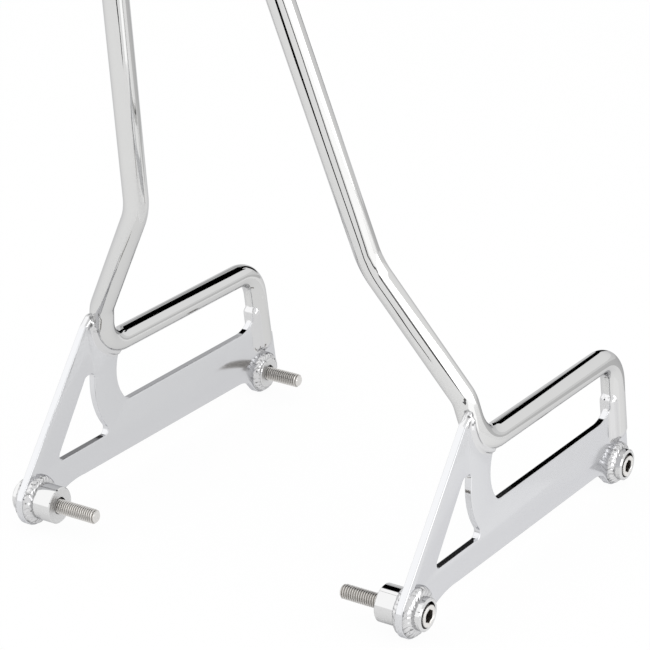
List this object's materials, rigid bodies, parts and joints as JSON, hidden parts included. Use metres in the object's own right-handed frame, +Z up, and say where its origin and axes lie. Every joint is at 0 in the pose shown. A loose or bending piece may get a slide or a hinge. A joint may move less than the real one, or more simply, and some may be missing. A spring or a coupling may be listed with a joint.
{
  "type": "motorcycle sissy bar",
  "caption": "Chromed motorcycle sissy bar: a reclined round-bar hoop with grab rails, welded to cut-out side plates that bolt to the fender struts.",
  "frame": {"origin": "midway between the two rear screws, on their common axis", "axes": "+X to the rider's right along the screws, +Y forward along the grab rails, +Z up"},
  "size_m": [0.3028, 0.3309, 0.4552],
  "materials": {
    "chrome": "bright chrome plate over polished steel",
    "weld": "chrome plate over rippled weld",
    "stainless": "bare stainless"
  },
  "bodies": {
    "root": {"hoop": "chrome", "plate_right": "chrome", "plate_left": "chrome", "post_weld_right": "weld", "post_weld_left": "weld", "leg_weld_right": "weld", "leg_weld_left": "weld", "bung_rear_right": "chrome", "bung_rear_left": "chrome", "bung_front_right": "chrome", "bung_front_left": "chrome", "screw_rear_right": "stainless", "screw_rear_left": "stainless", "screw_front_right": "stainless", "screw_front_left": "stainless", "ring_weld_rear_inner_right": "weld", "ring_weld_rear_inner_left": "weld", "ring_weld_rear_outer_right": "weld", "ring_weld_rear_outer_left": "weld", "ring_weld_front_inner_right": "weld", "ring_weld_front_inner_left": "weld", "ring_weld_front_outer_right": "weld", "ring_weld_front_outer_left": "weld"}
  },
  "joints": []
}
